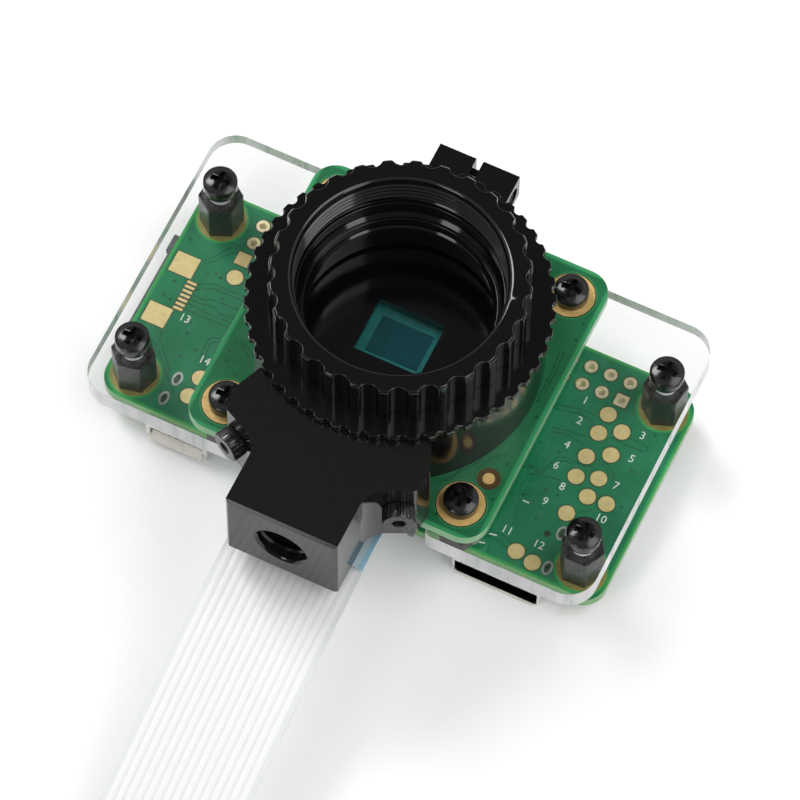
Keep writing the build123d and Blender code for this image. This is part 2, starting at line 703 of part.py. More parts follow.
# Ribbon connector of the computer board at its left edge, with its latch
edge_socket_front = -computer_board_length / 2 + edge_socket_edge_gap
edge_socket_middle = computer_bottom - edge_socket_height / 2
with BuildPart() as edge_ribbon_socket:
    with Locations((edge_socket_front, 0, computer_bottom)):
        Box(edge_socket_depth, edge_socket_length, edge_socket_height, align=(Align.MIN, Align.CENTER, Align.MAX))
    with Locations((edge_socket_front, 0, edge_socket_middle)):
        Box(edge_socket_depth, edge_socket_length - 2 * edge_socket_cheek, edge_socket_slot, mode=Mode.SUBTRACT)
write(edge_ribbon_socket.part, "edge_ribbon_socket")

edge_latch_front = -computer_board_length / 2 - edge_latch_overhang
edge_latch_back = edge_socket_front - latch_play
with BuildPart() as edge_ribbon_latch:
    with Locations((edge_latch_front, 0, edge_socket_middle - edge_socket_slot / 2)):
        Box(edge_latch_back - edge_latch_front, edge_socket_length + 2 * (latch_play + edge_latch_arm),
            edge_latch_bar, align=(Align.MIN, Align.CENTER, Align.MIN))
    for side in (1, -1):
        with Locations((edge_latch_front, side * (edge_socket_length / 2 + latch_play + edge_latch_arm / 2),
                        edge_socket_middle - edge_socket_slot / 2)):
            Box(edge_latch_back - edge_latch_front + edge_latch_reach, edge_latch_arm, edge_latch_bar,
                align=(Align.MIN, Align.CENTER, Align.MIN))
write(edge_ribbon_latch.part, "edge_ribbon_latch")

# Chips and small parts under the computer board
with BuildPart() as processor_chip:
    with Locations((processor_x, processor_y, computer_bottom)):
        Box(processor_side, processor_side, processor_height, align=(Align.CENTER, Align.CENTER, Align.MAX))
write(processor_chip.part, "processor_chip")

with BuildPart() as power_chip:
    with Locations((power_chip_x, processor_y, computer_bottom)):
        Box(power_chip_side, power_chip_side, power_chip_height, align=(Align.CENTER, Align.CENTER, Align.MAX))
write(power_chip.part, "power_chip")

with BuildPart() as computer_passives:
    with Locations((power_chip_x, processor_y, computer_bottom)):
        with GridLocations(power_chip_side + 2 * passive_pitch, passive_pitch, 2, 5):
            Box(passive_length, passive_width, passive_height, align=(Align.CENTER, Align.CENTER, Align.MAX))
    with Locations(((processor_x + card_socket_near) / 2, processor_y, computer_bottom)):
        with GridLocations(passive_pitch, passive_pitch, 2, 5):
            Box(passive_length, passive_width, passive_height, align=(Align.CENTER, Align.CENTER, Align.MAX))
write(computer_passives.part, "computer_passives")
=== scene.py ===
"""Camera module: materials, fine detail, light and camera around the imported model.

Sizes and places are in millimetres. A new mesh is drawn in them and scaled to metres when it is done."""

from math import cos, pi, radians, sin

import bmesh
import bpy
from mathutils import Matrix, Vector


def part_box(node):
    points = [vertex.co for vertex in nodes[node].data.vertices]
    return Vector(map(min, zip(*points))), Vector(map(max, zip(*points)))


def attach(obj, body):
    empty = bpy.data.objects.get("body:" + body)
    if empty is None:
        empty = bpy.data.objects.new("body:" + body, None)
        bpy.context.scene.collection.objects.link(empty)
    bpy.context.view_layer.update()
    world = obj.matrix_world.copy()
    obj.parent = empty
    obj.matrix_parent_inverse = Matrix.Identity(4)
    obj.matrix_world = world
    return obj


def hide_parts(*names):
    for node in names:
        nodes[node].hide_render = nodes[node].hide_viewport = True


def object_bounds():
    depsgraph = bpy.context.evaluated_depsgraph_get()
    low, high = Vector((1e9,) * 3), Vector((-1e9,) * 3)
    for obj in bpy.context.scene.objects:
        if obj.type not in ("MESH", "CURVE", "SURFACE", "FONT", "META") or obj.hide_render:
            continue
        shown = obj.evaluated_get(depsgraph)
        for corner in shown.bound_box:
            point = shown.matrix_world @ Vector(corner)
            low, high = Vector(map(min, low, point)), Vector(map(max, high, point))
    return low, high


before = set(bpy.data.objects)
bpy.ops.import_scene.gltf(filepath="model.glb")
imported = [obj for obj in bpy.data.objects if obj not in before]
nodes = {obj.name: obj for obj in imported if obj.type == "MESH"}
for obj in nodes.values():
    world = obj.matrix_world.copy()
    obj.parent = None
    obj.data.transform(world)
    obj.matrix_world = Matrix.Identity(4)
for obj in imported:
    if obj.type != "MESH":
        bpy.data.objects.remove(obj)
cad_bounds = [list(corner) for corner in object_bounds()]
scene = bpy.context.scene
MM = 0.001
MICRON = 0.000001
X, Y, Z = 0, 1, 2

# Camera, at the photograph's viewing angle, with its target and distance in metres
azimuth, elevation, roll = radians(25.02), radians(63.23), radians(0.71)
target, distance = Vector((0.0006, -0.00098, -0.0292)), 0.68943
back = Vector((sin(azimuth) * cos(elevation), -cos(azimuth) * cos(elevation), sin(elevation)))
right = Vector((cos(azimuth), sin(azimuth), 0))
up = back.cross(right)
camera_data = bpy.data.cameras.new("camera")
camera_data.sensor_width = 36
camera_data.lens = 263.6
camera_data.clip_end = 10
camera = bpy.data.objects.new("camera", camera_data)
axes = Matrix((right * cos(roll) + up * sin(roll), up * cos(roll) - right * sin(roll), back)).transposed()
camera.matrix_world = Matrix.Translation(target + back * distance) @ axes.to_4x4()
scene.collection.objects.link(camera)
scene.camera = camera
scene.view_settings.view_transform = "Standard"


def span(node, axis):
    """Lowest and highest place of a CAD node along an axis."""
    low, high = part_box(node)
    return low[axis] / MM, high[axis] / MM


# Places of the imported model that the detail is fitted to
camera_bottom, camera_top = span("camera_board", Z)
computer_bottom, computer_top = span("computer_board", Z)
latch_bottom, latch_top = span("edge_ribbon_latch", Z)
sensor_top = span("image_sensor", Z)[1]
socket_front = span("usb_sockets", Y)[0]
block_front = span("tripod_mount", Y)[0]
block_middle = sum(span("tripod_mount", Z)) / 2
cap_screw_middle = sum(span("tripod_screws", Z)) / 2
surface = cad_bounds[0][2] / MM

# Screw holes of the two boards, at plus and minus these places
computer_hole_x, computer_hole_y = 29.0, 11.5
camera_hole_x, camera_hole_y = 15.0, 15.0

# Ribbon: its route as Y and Z, as in the part's source, and its conductors
ribbon_points = [(-14.8, -20.95), (-34.5, -20.95), (-83.0, -34.65), (-123.0, -34.2), (-162.0, -32.4)]
ribbon_half_width = 8.0
conductors = 15
conductor_pitch = 1.0


# Mesh helpers
def link(name, data):
    piece = bpy.data.objects.new(name, data)
    scene.collection.objects.link(piece)
    return piece


def from_bmesh(name, bm, smooth=30):
    """Turns a bmesh into an object, smooth where its faces meet at less than that many degrees."""
    bmesh.ops.scale(bm, vec=(MM, MM, MM), verts=bm.verts)
    bmesh.ops.recalc_face_normals(bm, faces=bm.faces)
    mesh = bpy.data.meshes.new(name)
    bm.to_mesh(mesh)
    bm.free()
    mesh.shade_smooth()
    mesh.set_sharp_from_angle(angle=radians(smooth))
    return link(name, mesh)


def loft(bm, rows, closed=False):
    """Joins rows of points, each a loop, with faces. Unless the rows close up, both ends get a cap."""
    rows = [[bm.verts.new(point) for point in row] for row in rows]
    for a, b in zip(rows, rows[1:] + rows[:1] if closed else rows[1:]):
        for j in range(len(a)):
            k = (j + 1) % len(a)
            bm.faces.new((a[j], a[k], b[k], b[j]))
    if not closed:
        bm.faces.new(rows[0])
        bm.faces.new(rows[-1][::-1])


def lathe(bm, profile, x=0, y=0, count=32, square_from=None):
    """Turns a closed profile of (radius, z) round an upright axis. Radii over square_from make squares."""
    rings = []
    for i in range(count):
        angle = 2 * pi * (i + 0.5) / count
        stretch = 1 / max(abs(cos(angle)), abs(sin(angle)))
        ring = []
        for radius, z in profile:
            r = radius * stretch if square_from and radius > square_from else radius
            ring.append((x + r * cos(angle), y + r * sin(angle), z))
        rings.append(ring)
    loft(bm, rings, closed=True)


def at(outline, z):
    """An outline of (x, y) at a height."""
    return [(x, y, z) for x, y in outline]


def plate(bm, outline, low, high):
    """An upright prism over an outline of (x, y)."""
    loft(bm, [at(outline, low), at(outline, high)])


def disc(x, y, radius_x, radius_y=None, count=32):
    radius_y = radius_y or radius_x
    angles = [2 * pi * i / count for i in range(count)]
    return [(x + radius_x * cos(angle), y + radius_y * sin(angle)) for angle in angles]


def rectangle(x0, y0, x1, y1):
    return [(x0, y0), (x1, y0), (x1, y1), (x0, y1)]


def strip(bm, line, width, low, high):
    """A thin flat strip along a line of (x, y)."""
    rows = []
    for i, (x, y) in enumerate(line):
        (x0, y0), (x1, y1) = line[max(i - 1, 0)], line[min(i + 1, len(line) - 1)]
        length = ((x1 - x0) ** 2 + (y1 - y0) ** 2) ** 0.5
        ax, ay = -(y1 - y0) / length * width / 2, (x1 - x0) / length * width / 2
        one_side, other_side = (x - ax, y - ay), (x + ax, y + ay)
        rows.append([(*one_side, low), (*other_side, low), (*other_side, high), (*one_side, high)])
    loft(bm, rows)


def soften(piece, width):
    """Rounds the edges of a new piece."""
    bevel = piece.modifiers.new("soften", "BEVEL")
    bevel.width = width * MM
    bevel.segments = 2


def dress(piece, finish, body="module"):
    """Gives a new piece its finish and the body that it rides on."""
    piece.data.materials.append(finish)
    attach(piece, body)


# Colours, all linear with an alpha of 1
def linear(r, g, b):
    """Linear colour of an sRGB colour with parts from 0 to 255."""
    parts = [c / 255 for c in (r, g, b)]
    return tuple(c / 12.92 if c <= 0.04045 else ((c + 0.055) / 1.055) ** 2.4 for c in parts) + (1.0,)


def grey(level):
    return (level, level, level, 1.0)


def dimmed(colour, share):
    return tuple(c * share for c in colour[:3]) + (1.0,)


class Nodes:
    """A node tree, with short calls for the nodes that the materials and the world here use."""

    def __init__(self, owner, output="ShaderNodeOutputMaterial", coordinates="Object"):
        owner.use_nodes = True
        self.owner = owner
        self.tree = owner.node_tree
        self.tree.nodes.clear()
        self.out = self.add(output)
        self.coordinates = self.add("ShaderNodeTexCoord").outputs[coordinates]

    def add(self, kind, inputs=(), **settings):
        node = self.tree.nodes.new(kind)
        for key, value in settings.items():
            setattr(node, key, value)
        for key, value in dict(inputs).items():
            if isinstance(value, bpy.types.NodeSocket):
                self.tree.links.new(value, node.inputs[key])
            else:
                node.inputs[key].default_value = value
        return node

    def noise(self, scale, detail=2.0, stretch=None):
        """Noise with features about 1/scale metres wide."""
        vector = self.coordinates
        if stretch:
            vector = self.add("ShaderNodeMapping", {"Vector": vector, "Scale": stretch}).outputs[0]
        return self.add("ShaderNodeTexNoise", {"Vector": vector, "Scale": scale, "Detail": detail}).outputs[0]

    def between(self, value, low, high, start=0.35, stop=0.65, **settings):
        """low to high as the value goes from start to stop."""
        return self.add("ShaderNodeMapRange", {"Value": value, "From Min": start, "From Max": stop,
                                               "To Min": low, "To Max": high}, **settings).outputs[0]

    def math(self, operation, a, b=0.0):
        return self.add("ShaderNodeMath", {0: a, 1: b}, operation=operation).outputs[0]

    def from_zero(self, value, middle=0.0):
        """How far a value is from the middle, either way."""
        return self.math("ABSOLUTE", self.math("SUBTRACT", value, middle) if middle else value)

    def mix(self, factor, a, b):
        """Colour a to colour b by the factor."""
        return self.add("ShaderNodeMix", {0: factor, 6: a, 7: b}, data_type="RGBA").outputs[2]

    def blend(self, factor, a, b):
        """Shader a to shader b by the factor."""
        return self.add("ShaderNodeMixShader", {0: factor, 1: a, 2: b}).outputs[0]

    def parts(self, vector):
        return self.add("ShaderNodeSeparateXYZ", {0: vector}).outputs

    def faces_up(self):
        """1 where the surface points up or down, 0 where it is upright."""
        return self.from_zero(self.parts(self.add("ShaderNodeNewGeometry").outputs["True Normal"])["Z"])

    def bump(self, height, microns):
        return self.add("ShaderNodeBump", {"Height": height, "Distance": microns * MICRON}).outputs[0]

    def principled(self, inputs):
        return self.add("ShaderNodeBsdfPrincipled", inputs).outputs[0]

    def light_path(self):
        return self.add("ShaderNodeLightPath").outputs

    def finish(self, shader):
        self.tree.links.new(shader, self.out.inputs["Surface"])
        return self.owner


def material(name):
    return Nodes(bpy.data.materials.new(name))


# Kinds of material
def plain(name, dark, light, rough, patch=1500, grain=5000, depth=4, metallic=0.0):
    """A surface whose colour drifts between two, with its own grain and a gloss that varies a little.

    patch and grain are the noise scales of the drift and the bumps, and depth is the bumps' in microns."""
    m = material(name)
    colour = m.mix(m.between(m.noise(patch, 4.0), 0.0, 1.0), dark, light)
    roughness = m.between(m.noise(patch * 1.7, 3.0), *rough)
    normal = m.bump(m.noise(grain, 3.0), depth)
    return m.finish(m.principled({"Base Color": colour, "Roughness": roughness, "Normal": normal,
                                  "Metallic": metallic}))


def board(name, mask_dark, mask_light, bare, cut, half_x, half_y, hole_x, hole_y, hole_clear):
    """A circuit board: glossy solder mask, and raw fibre at its cut edges. Its paler rim and ground round the
    screw holes are partly free of copper and partly painted light.

    Copper reaches half_x and half_y from the middle, and stops hole_clear from each screw hole's middle."""
    m = material(name)
    is_face = m.math("GREATER_THAN", m.faces_up(), 0.5)
    place = m.parts(m.coordinates)
    x, y = m.from_zero(place["X"]), m.from_zero(place["Y"])
    past = m.math("MAXIMUM", m.math("SUBTRACT", x, half_x * MM), m.math("SUBTRACT", y, half_y * MM))
    at_rim = m.between(past, 0.0, 1.0, -0.1 * MM, 0.2 * MM)
    squares = [m.math("POWER", m.math("SUBTRACT", a, b * MM), 2.0) for a, b in ((x, hole_x), (y, hole_y))]
    from_hole = m.math("SQRT", m.math("ADD", *squares))
    at_hole = m.between(from_hole, 1.0, 0.0, (hole_clear - 0.1) * MM, (hole_clear + 0.1) * MM)
    mask = m.mix(m.between(m.noise(260.0, 2.0), 0.0, 1.0, 0.3, 0.7), mask_dark, mask_light)
    # Painted light, in part: the mask is paler at the rim and round the screw holes
    mask = m.mix(m.math("MAXIMUM", at_rim, at_hole), mask, bare)
    fibre = m.noise(1500.0, 2.0, (0.15, 0.15, 6.0))
    raw = m.mix(m.between(fibre, 0.0, 1.0), cut, dimmed(cut, 0.8))
    roughness = m.between(m.noise(900.0, 2.0), 0.2, 0.26)
    return m.finish(m.principled({"Base Color": m.mix(is_face, raw, mask), "Roughness": roughness,
                                  "Normal": m.bump(m.noise(2600.0, 3.0), 4), "Specular IOR Level": 0.4}))


def clear(name, tint, ior, edge_white, shadow):
    """Clear sheet: polished faces, cut edges that scatter some light, and a shadow that lets light by."""
    m = material(name)
    is_edge = m.math("LESS_THAN", m.faces_up(), 0.5)
    roughness = m.between(m.noise(300.0, 3.0), 0.0, 0.02)
    glass = m.principled({"Base Color": tint, "Roughness": roughness, "IOR": ior, "Transmission Weight": 1.0,
                          "Normal": m.bump(m.noise(60.0, 2.0), 10)})
    saw = m.noise(700.0, 3.0, (1.0, 1.0, 0.12))
    sawn = m.mix(m.between(saw, 0.0, 1.0, 0.4, 0.6), (0.82, 0.86, 0.85, 1.0), grey(1.0))
    cut = m.principled({"Base Color": sawn, "Roughness": m.between(saw, 0.25, 0.5),
                        "Normal": m.bump(saw, 30)})
    sheet = m.blend(m.math("MULTIPLY", is_edge, edge_white), glass, cut)
    through = m.add("ShaderNodeBsdfTransparent", {"Color": shadow}).outputs[0]
    return m.finish(m.blend(m.light_path()["Is Shadow Ray"], sheet, through))


def steel_painted_shade_inside(name, node, wall, outside, inside):
    """Uncoated metal, with shade painted dark inside the shell's mouth, where little light comes."""
    m = material(name)
    place = m.parts(m.coordinates)
    within = []
    for axis in (X, Z):
        low, high = span(node, axis)
        middle, half = (low + high) / 2 * MM, ((high - low) / 2 - wall) * MM
        within.append(m.math("LESS_THAN", m.from_zero(place[axis], middle), half))
    steel = m.mix(m.between(m.noise(1200.0, 4.0), 0.0, 1.0), outside, dimmed(outside, 0.85))
    # Painted shade: the colour goes dark within the mouth
    colour = m.mix(m.math("MULTIPLY", *within), steel, inside)
    roughness = m.between(m.noise(2000.0, 3.0), 0.22, 0.34)
    return m.finish(m.principled({"Base Color": colour, "Roughness": roughness,
                                  "Normal": m.bump(m.noise(4000.0, 3.0), 1.2), "Metallic": 0.7}))


def striped(name, film, over_conductor, rough):
    """Film over flat conductors, which show as paler stripes along the ribbon."""
    m = material(name)
    across = m.parts(m.coordinates)["X"]
    pitches = m.math("ADD", m.math("MULTIPLY", across, 1 / (conductor_pitch * MM)), 100.5)
    from_middle = m.from_zero(m.math("FRACT", pitches), 0.5)
    on_conductor = m.between(from_middle, 1.0, 0.0, 0.31, 0.37)
    is_inside = m.math("LESS_THAN", m.from_zero(across), 7.45 * MM)
    colour = m.mix(m.math("MULTIPLY", on_conductor, is_inside), film, over_conductor)
    roughness = m.between(m.noise(500.0, 3.0), rough, rough + 0.1)
    return m.finish(m.principled({"Base Color": colour, "Roughness": roughness,
                                  "Normal": m.bump(m.noise(1400.0, 3.0), 4), "Specular IOR Level": 0.4}))


# Black plastics and metals
black_nylon = plain("black_nylon", grey(0.004), grey(0.006), (0.14, 0.2), patch=1800, grain=4500)
dark_hex = plain("standoff_black", (0.010, 0.0105, 0.0095, 1), (0.015, 0.0155, 0.014, 1), (0.26, 0.36),
                 grain=3500, depth=6)
housing_black = plain("housing_black", (0.0035, 0.0038, 0.0035, 1), (0.0045, 0.0048, 0.0044, 1), (0.10, 0.14),
                      patch=2500, grain=8000, depth=1.2)
ring_black = plain("ring_black", (0.003, 0.0032, 0.003, 1), (0.004, 0.0042, 0.0038, 1), (0.08, 0.11),
                   patch=2500, grain=8000, depth=1)
block_black = plain("block_black", (0.0075, 0.008, 0.007, 1), (0.009, 0.0095, 0.0085, 1), (0.09, 0.12),
                    patch=3000, grain=9000, depth=1.2)
chip_black = plain("chip_black", (0.012, 0.012, 0.013, 1), (0.022, 0.022, 0.024, 1), (0.45, 0.6),
                   grain=6000, depth=10)
rubber = plain("black_rubber", grey(0.008), grey(0.016), (0.65, 0.8), patch=600, grain=4500, depth=20)
dark_steel = plain("dark_steel", (0.05, 0.048, 0.046, 1), (0.09, 0.088, 0.085, 1), (0.2, 0.3),
                   patch=2500, metallic=0.85)
bare_steel = plain("bare_steel", (0.72, 0.71, 0.69, 1), (0.84, 0.83, 0.81, 1), (0.22, 0.34),
                   patch=1200, grain=4000, depth=1.2, metallic=0.8)
# Socket shell: steel outside, painted shade inside its mouth
video_steel_painted_shade = steel_painted_shade_inside("video_socket_steel_painted_shade", "video_socket", 0.3, (0.82, 0.81, 0.79, 1), grey(0.004))

# Plated copper and printed marks
gold = plain("pad_gold", linear(212, 190, 128), linear(222, 202, 142), (0.34, 0.44), metallic=0.15)
ring_gold = plain("ring_gold", linear(222, 184, 112), linear(234, 198, 128), (0.26, 0.36), metallic=0.15)
# Olive: partly the tint of the mask over the rings, partly painted shade
olive_gold_and_shade = plain("hole_ring_gold", linear(138, 132, 66), linear(156, 146, 78), (0.3, 0.42), metallic=0.15)
pale_gold = plain("header_gold", linear(228, 212, 164), linear(240, 228, 188), (0.3, 0.42), metallic=0.5)
# Painted light: the barrels are near white so that the holes look lit
barrel_painted_light = plain("header_barrel", linear(246, 234, 196), linear(252, 243, 212), (0.3, 0.42))
tin = plain("pad_tin", linear(150, 158, 154), linear(178, 184, 180), (0.25, 0.38), depth=6, metallic=0.3)
# Bare ground round pads; the same dark green is painted shade in the slots and the hole
ground_and_hole_shade = plain("ground_and_hole_shade", linear(34, 60, 34), linear(44, 72, 42), (0.25, 0.35))
trace_gap = plain("trace_gap", linear(16, 84, 54), linear(22, 92, 60), (0.22, 0.3), depth=3)
mark_brown = plain("mark_brown", linear(76, 58, 26), linear(88, 68, 32), (0.25, 0.35))
print_white = plain("print_white", linear(214, 226, 216), linear(228, 236, 228), (0.5, 0.62),
                    patch=1800, grain=6000)

# Sockets and small parts
ceramic = plain("sensor_ceramic", (0.42, 0.52, 0.52, 1), (0.5, 0.6, 0.6, 1), (0.45, 0.6), patch=800, depth=10)
die_teal = plain("sensor_die", linear(40, 92, 104), linear(48, 102, 114), (0.12, 0.2),
                 patch=2500, grain=8000, depth=2, metallic=0.3)
# Cream of the sockets' plastic; on the socket lips it is painted light
cream_and_lip_light = plain("cream_and_lip_light", linear(232, 228, 216), linear(244, 241, 232), (0.4, 0.55),
                     patch=800, grain=4500, depth=6)
latch_grey = plain("latch_grey", linear(74, 80, 84), linear(90, 96, 98), (0.35, 0.5),
                   patch=900, grain=4500, depth=6)
passive_tan = plain("passive_tan", linear(150, 120, 84), linear(190, 164, 124), (0.4, 0.55),
                    patch=1200, grain=6000, depth=10)

# Boards, clear sheet and glass, ribbon and its tapes
# bare: the paler rim colour, partly no copper and partly painted light
computer_green = board("computer_board_green", linear(28, 116, 76), linear(40, 128, 88),
                       bare=linear(66, 166, 88), cut=linear(130, 186, 120), half_x=32.1, half_y=14.6,
                       hole_x=computer_hole_x, hole_y=computer_hole_y, hole_clear=3.25)
camera_green = board("camera_board_green", linear(32, 108, 66), linear(42, 120, 78),
                     bare=linear(62, 158, 102), cut=linear(140, 196, 146), half_x=18.45, half_y=18.45,
                     hole_x=camera_hole_x, hole_y=camera_hole_y, hole_clear=3.1)
acrylic = clear("clear_acrylic", (0.985, 0.992, 0.988, 1), 1.49, 0.72, (0.93, 0.94, 0.935, 1))
sensor_window = clear("sensor_glass", (0.93, 0.95, 0.96, 1), 1.5, 0.2, (0.9, 0.92, 0.92, 1))
filter_teal = clear("filter_glass", linear(168, 240, 238), 1.52, 0.2, linear(184, 240, 238))
ribbon_white = striped("ribbon_white", linear(232, 235, 234), linear(247, 247, 247), 0.3)
stiffener_blue = striped("stiffener_blue", linear(170, 214, 236), linear(208, 227, 233), 0.22)

# Finish of each CAD node, and the width of its softened edges, 0 where they stay sharp
looks = {
    "mounting_plate": (acrylic, 0.12),
    "computer_board": (computer_green, 0.08),
    "camera_board": (camera_green, 0.08),
    "hex_standoffs": (dark_hex, 0.12),
    "plate_screws": (black_nylon, 0.12),
    "board_screws": (black_nylon, 0.12),
    "camera_screws": (black_nylon, 0.12),
    "camera_nuts": (black_nylon, 0.1),
    "camera_spacers": (black_nylon, 0.1),
    "lens_mount_housing": (housing_black, 0.12),
    "mount_adapter": (ring_black, 0.1),
    "back_focus_ring": (ring_black, 0.08),
    "tripod_mount": (block_black, 0.12),
    "tripod_screws": (dark_steel, 0.14),
    "lock_screw": (dark_steel, 0.1),
    "housing_screws": (dark_steel, 0.12),
    "image_sensor": (ceramic, 0),
    "sensor_glass": (sensor_window, 0),
    "sensor_gasket": (rubber, 0),
    "filter_glass": (filter_teal, 0.06),
    "camera_ribbon_socket": (cream_and_lip_light, 0.08),
    "camera_ribbon_latch": (latch_grey, 0.08),
    "edge_ribbon_socket": (cream_and_lip_light, 0.06),
    "edge_ribbon_latch": (latch_grey, 0.08),
    "camera_regulators": (chip_black, 0.05),
    "camera_crystal": (bare_steel, 0.08),
    "camera_passives": (passive_tan, 0),
    "computer_passives": (passive_tan, 0),
    "processor_chip": (chip_black, 0.08),
    "power_chip": (chip_black, 0.05),
    "ribbon_cable": (ribbon_white, 0),
    "ribbon_stiffener": (stiffener_blue, 0),
    "video_socket": (video_steel_painted_shade, 0.06),
    "usb_sockets": (bare_steel, 0.06),
    "card_socket": (bare_steel, 0.06),
    "video_tongue": (chip_black, 0.05),
    "usb_tongues": (cream_and_lip_light, 0.05),
}
for name, (finish, width) in looks.items():
    piece = nodes[name]
    piece.data.materials.clear()
    piece.data.materials.append(finish)
    if not width:
        continue
    weld = piece.modifiers.new("weld", "WELD")
    weld.merge_threshold = MICRON
    flat = piece.modifiers.new("flat", "DECIMATE")
    flat.decimate_type = "DISSOLVE"
    flat.angle_limit = radians(0.5)
    bevel = piece.modifiers.new("bevel", "BEVEL")
    bevel.width = width * MM
    bevel.segments = 2
    bevel.limit_method = "ANGLE"
    bevel.angle_limit = radians(38)
    bevel.miter_outer = "MITER_ARC"
    normals = piece.modifiers.new("normals", "WEIGHTED_NORMAL")
    normals.keep_sharp = False
    normals.weight = 80

# Ribbon: a flat strip along a smooth line through the route, with its conductors standing a little proud
route_data = bpy.data.curves.new("ribbon_route", "CURVE")
route_data.dimensions = "3D"
route_data.resolution_u = 16
spline = route_data.splines.new("NURBS")
spline.points.add(len(ribbon_points) - 1)
for point, (y, z) in zip(spline.points, ribbon_points):
    point.co = (0, y * MM, z * MM, 1)
spline.order_u = 3
spline.use_endpoint_u = True
route = link("ribbon_route", route_data)
path = [vertex.co.copy() for vertex in bpy.data.meshes.new_from_object(route).vertices]
bpy.data.objects.remove(route)

# Half of the ribbon's section: film and conductor heights over its middle, and each conductor's half widths
film, conductor = 0.13, 0.15
conductor_flat, conductor_foot = 0.30, 0.36
profile = [(-ribbon_half_width, film)]
for i in range(conductors):
    middle = (i - (conductors - 1) / 2) * conductor_pitch
    profile += [(middle - conductor_foot, film), (middle - conductor_flat, conductor),
                (middle + conductor_flat, conductor), (middle + conductor_foot, film)]
profile.append((ribbon_half_width, film))
section = profile + [(x, -z) for x, z in reversed(profile)]
rows = []
for i, point in enumerate(path):
    forward = (path[min(i + 1, len(path) - 1)] - path[max(i - 1, 0)]).normalized()
    upward = Vector((1, 0, 0)).cross(forward)
    if upward.z < 0:
        upward = -upward
    rows.append([point / MM + Vector((x, 0, 0)) + upward * z for x, z in section])
bm = bmesh.new()
loft(bm, rows)
ribbon = from_bmesh("ribbon", bm, 60)
dress(ribbon, ribbon_white)
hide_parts("ribbon_cable")

# Heights over a board of pads, of the bare ground round them and of traces, and how far they reach into it.
# The ground's height is also that of the painted shade in slots and holes
pad_height, ground_and_shade_height, trace_height = 0.04, 0.018, 0.008
sunk = 0.01
# Plating: its wall in a hole, how far its flange is let in, and how much wider than the hole a square starts
plating, flange_sunk, square_margin = 0.04, 0.02, 1.01


def mark(bm, outline, height, top=computer_top):
    """A thin flat form on a board."""
    plate(bm, outline, top - sunk, top + height)


def plated_hole(bm, x, y, outer, hole, low, high, square=False):
    """Plating of a hole through a board from low to high, with a flange on both sides."""
    inner = hole - plating
    lathe(bm, [
        (inner, high + pad_height), (outer, high + pad_height), (outer, high - flange_sunk),
        (hole, high - flange_sunk), (hole, low + flange_sunk), (outer, low + flange_sunk),
        (outer, low - pad_height), (inner, low - pad_height),
    ], x, y, square_from=hole * square_margin if square else None)


def flat_ring(bm, x, y, inner, outer, low, high, square=False):
    lathe(bm, [(inner, high), (outer, high), (outer, low), (inner, low)], x, y,
          square_from=inner * square_margin if square else None)


# Header: two rows of plated holes, the first one's pad square, with a barrel in each, painted near white as
# painted light down the hole
header_pitch, header_columns, header_y = 2.54, 20, 11.5
header_pad, header_hole = 0.8, 0.5
header_gap_inner, header_gap_outer = 0.7, 0.95
barrel_inner, barrel_outer, barrel_proud = 0.43, 0.465, 0.02
header_bm, barrel_bm, ground_and_shade_bm = bmesh.new(), bmesh.new(), bmesh.new()
for column in range(header_columns):
    for row in range(2):
        x, y = (column - (header_columns - 1) / 2) * header_pitch, header_y + (row - 0.5) * header_pitch
        is_square = column == header_columns - 1 and row == 0
        plated_hole(header_bm, x, y, header_pad, header_hole, computer_bottom, computer_top, is_square)
        flat_ring(barrel_bm, x, y, barrel_inner, barrel_outer,
                  computer_bottom - barrel_proud, computer_top + barrel_proud)
        flat_ring(ground_and_shade_bm, x, y, header_gap_inner, header_gap_outer,
                  computer_top - sunk, computer_top + ground_and_shade_height, is_square)
header_pads = from_bmesh("header_pads", header_bm)
header_barrels = from_bmesh("header_barrels", barrel_bm)

# Plated rings round the computer board's screw holes
computer_ring, screw_hole = 3.0, 1.35
bm = bmesh.new()
for x in (-computer_hole_x, computer_hole_x):
    for y in (-computer_hole_y, computer_hole_y):
        plated_hole(bm, x, y, computer_ring, screw_hole, computer_bottom, computer_top)
hole_rings = from_bmesh("board_hole_rings", bm)

# Test pads: round ones, three large square ones and a row of narrow ones
pad_radius, round_gap, square_gap = 1.0, 0.15, 0.13
round_pads = [(23.5, 7.9), (23.5, 5.2), (25.9, 6.5), (23.5, 1.8), (26.0, 3.2), (23.5, -1.1), (26.0, -0.2),
              (25.8, -2.9), (28.2, -2.8), (24.5, -5.9), (21.3, -12.9), (23.6, -13.4), (-24.1, 5.1),
              (-21.8, -8.7), (-22.0, -11.4)]
square_pads = [(-25.15, 6.85, -23.45, 8.55), (-31.75, 2.6, -28.75, 5.45), (-31.75, -4.7, -28.75, -1.95)]
narrow_pads, narrow_pitch = 7, 0.625
steps = [i * narrow_pitch for i in range(narrow_pads)]
square_pads += [(-28.95, 2.03 - step, -27.75, 2.37 - step) for step in steps]
bm = bmesh.new()
for x, y in round_pads:
    mark(bm, disc(x, y, pad_radius), pad_height)
    mark(ground_and_shade_bm, disc(x, y, pad_radius + round_gap), ground_and_shade_height)
for x0, y0, x1, y1 in square_pads:
    mark(bm, rectangle(x0, y0, x1, y1), pad_height)
    mark(ground_and_shade_bm, rectangle(x0 - square_gap, y0 - square_gap, x1 + square_gap, y1 + square_gap), ground_and_shade_height)
test_pads = from_bmesh("test_pads", bm)

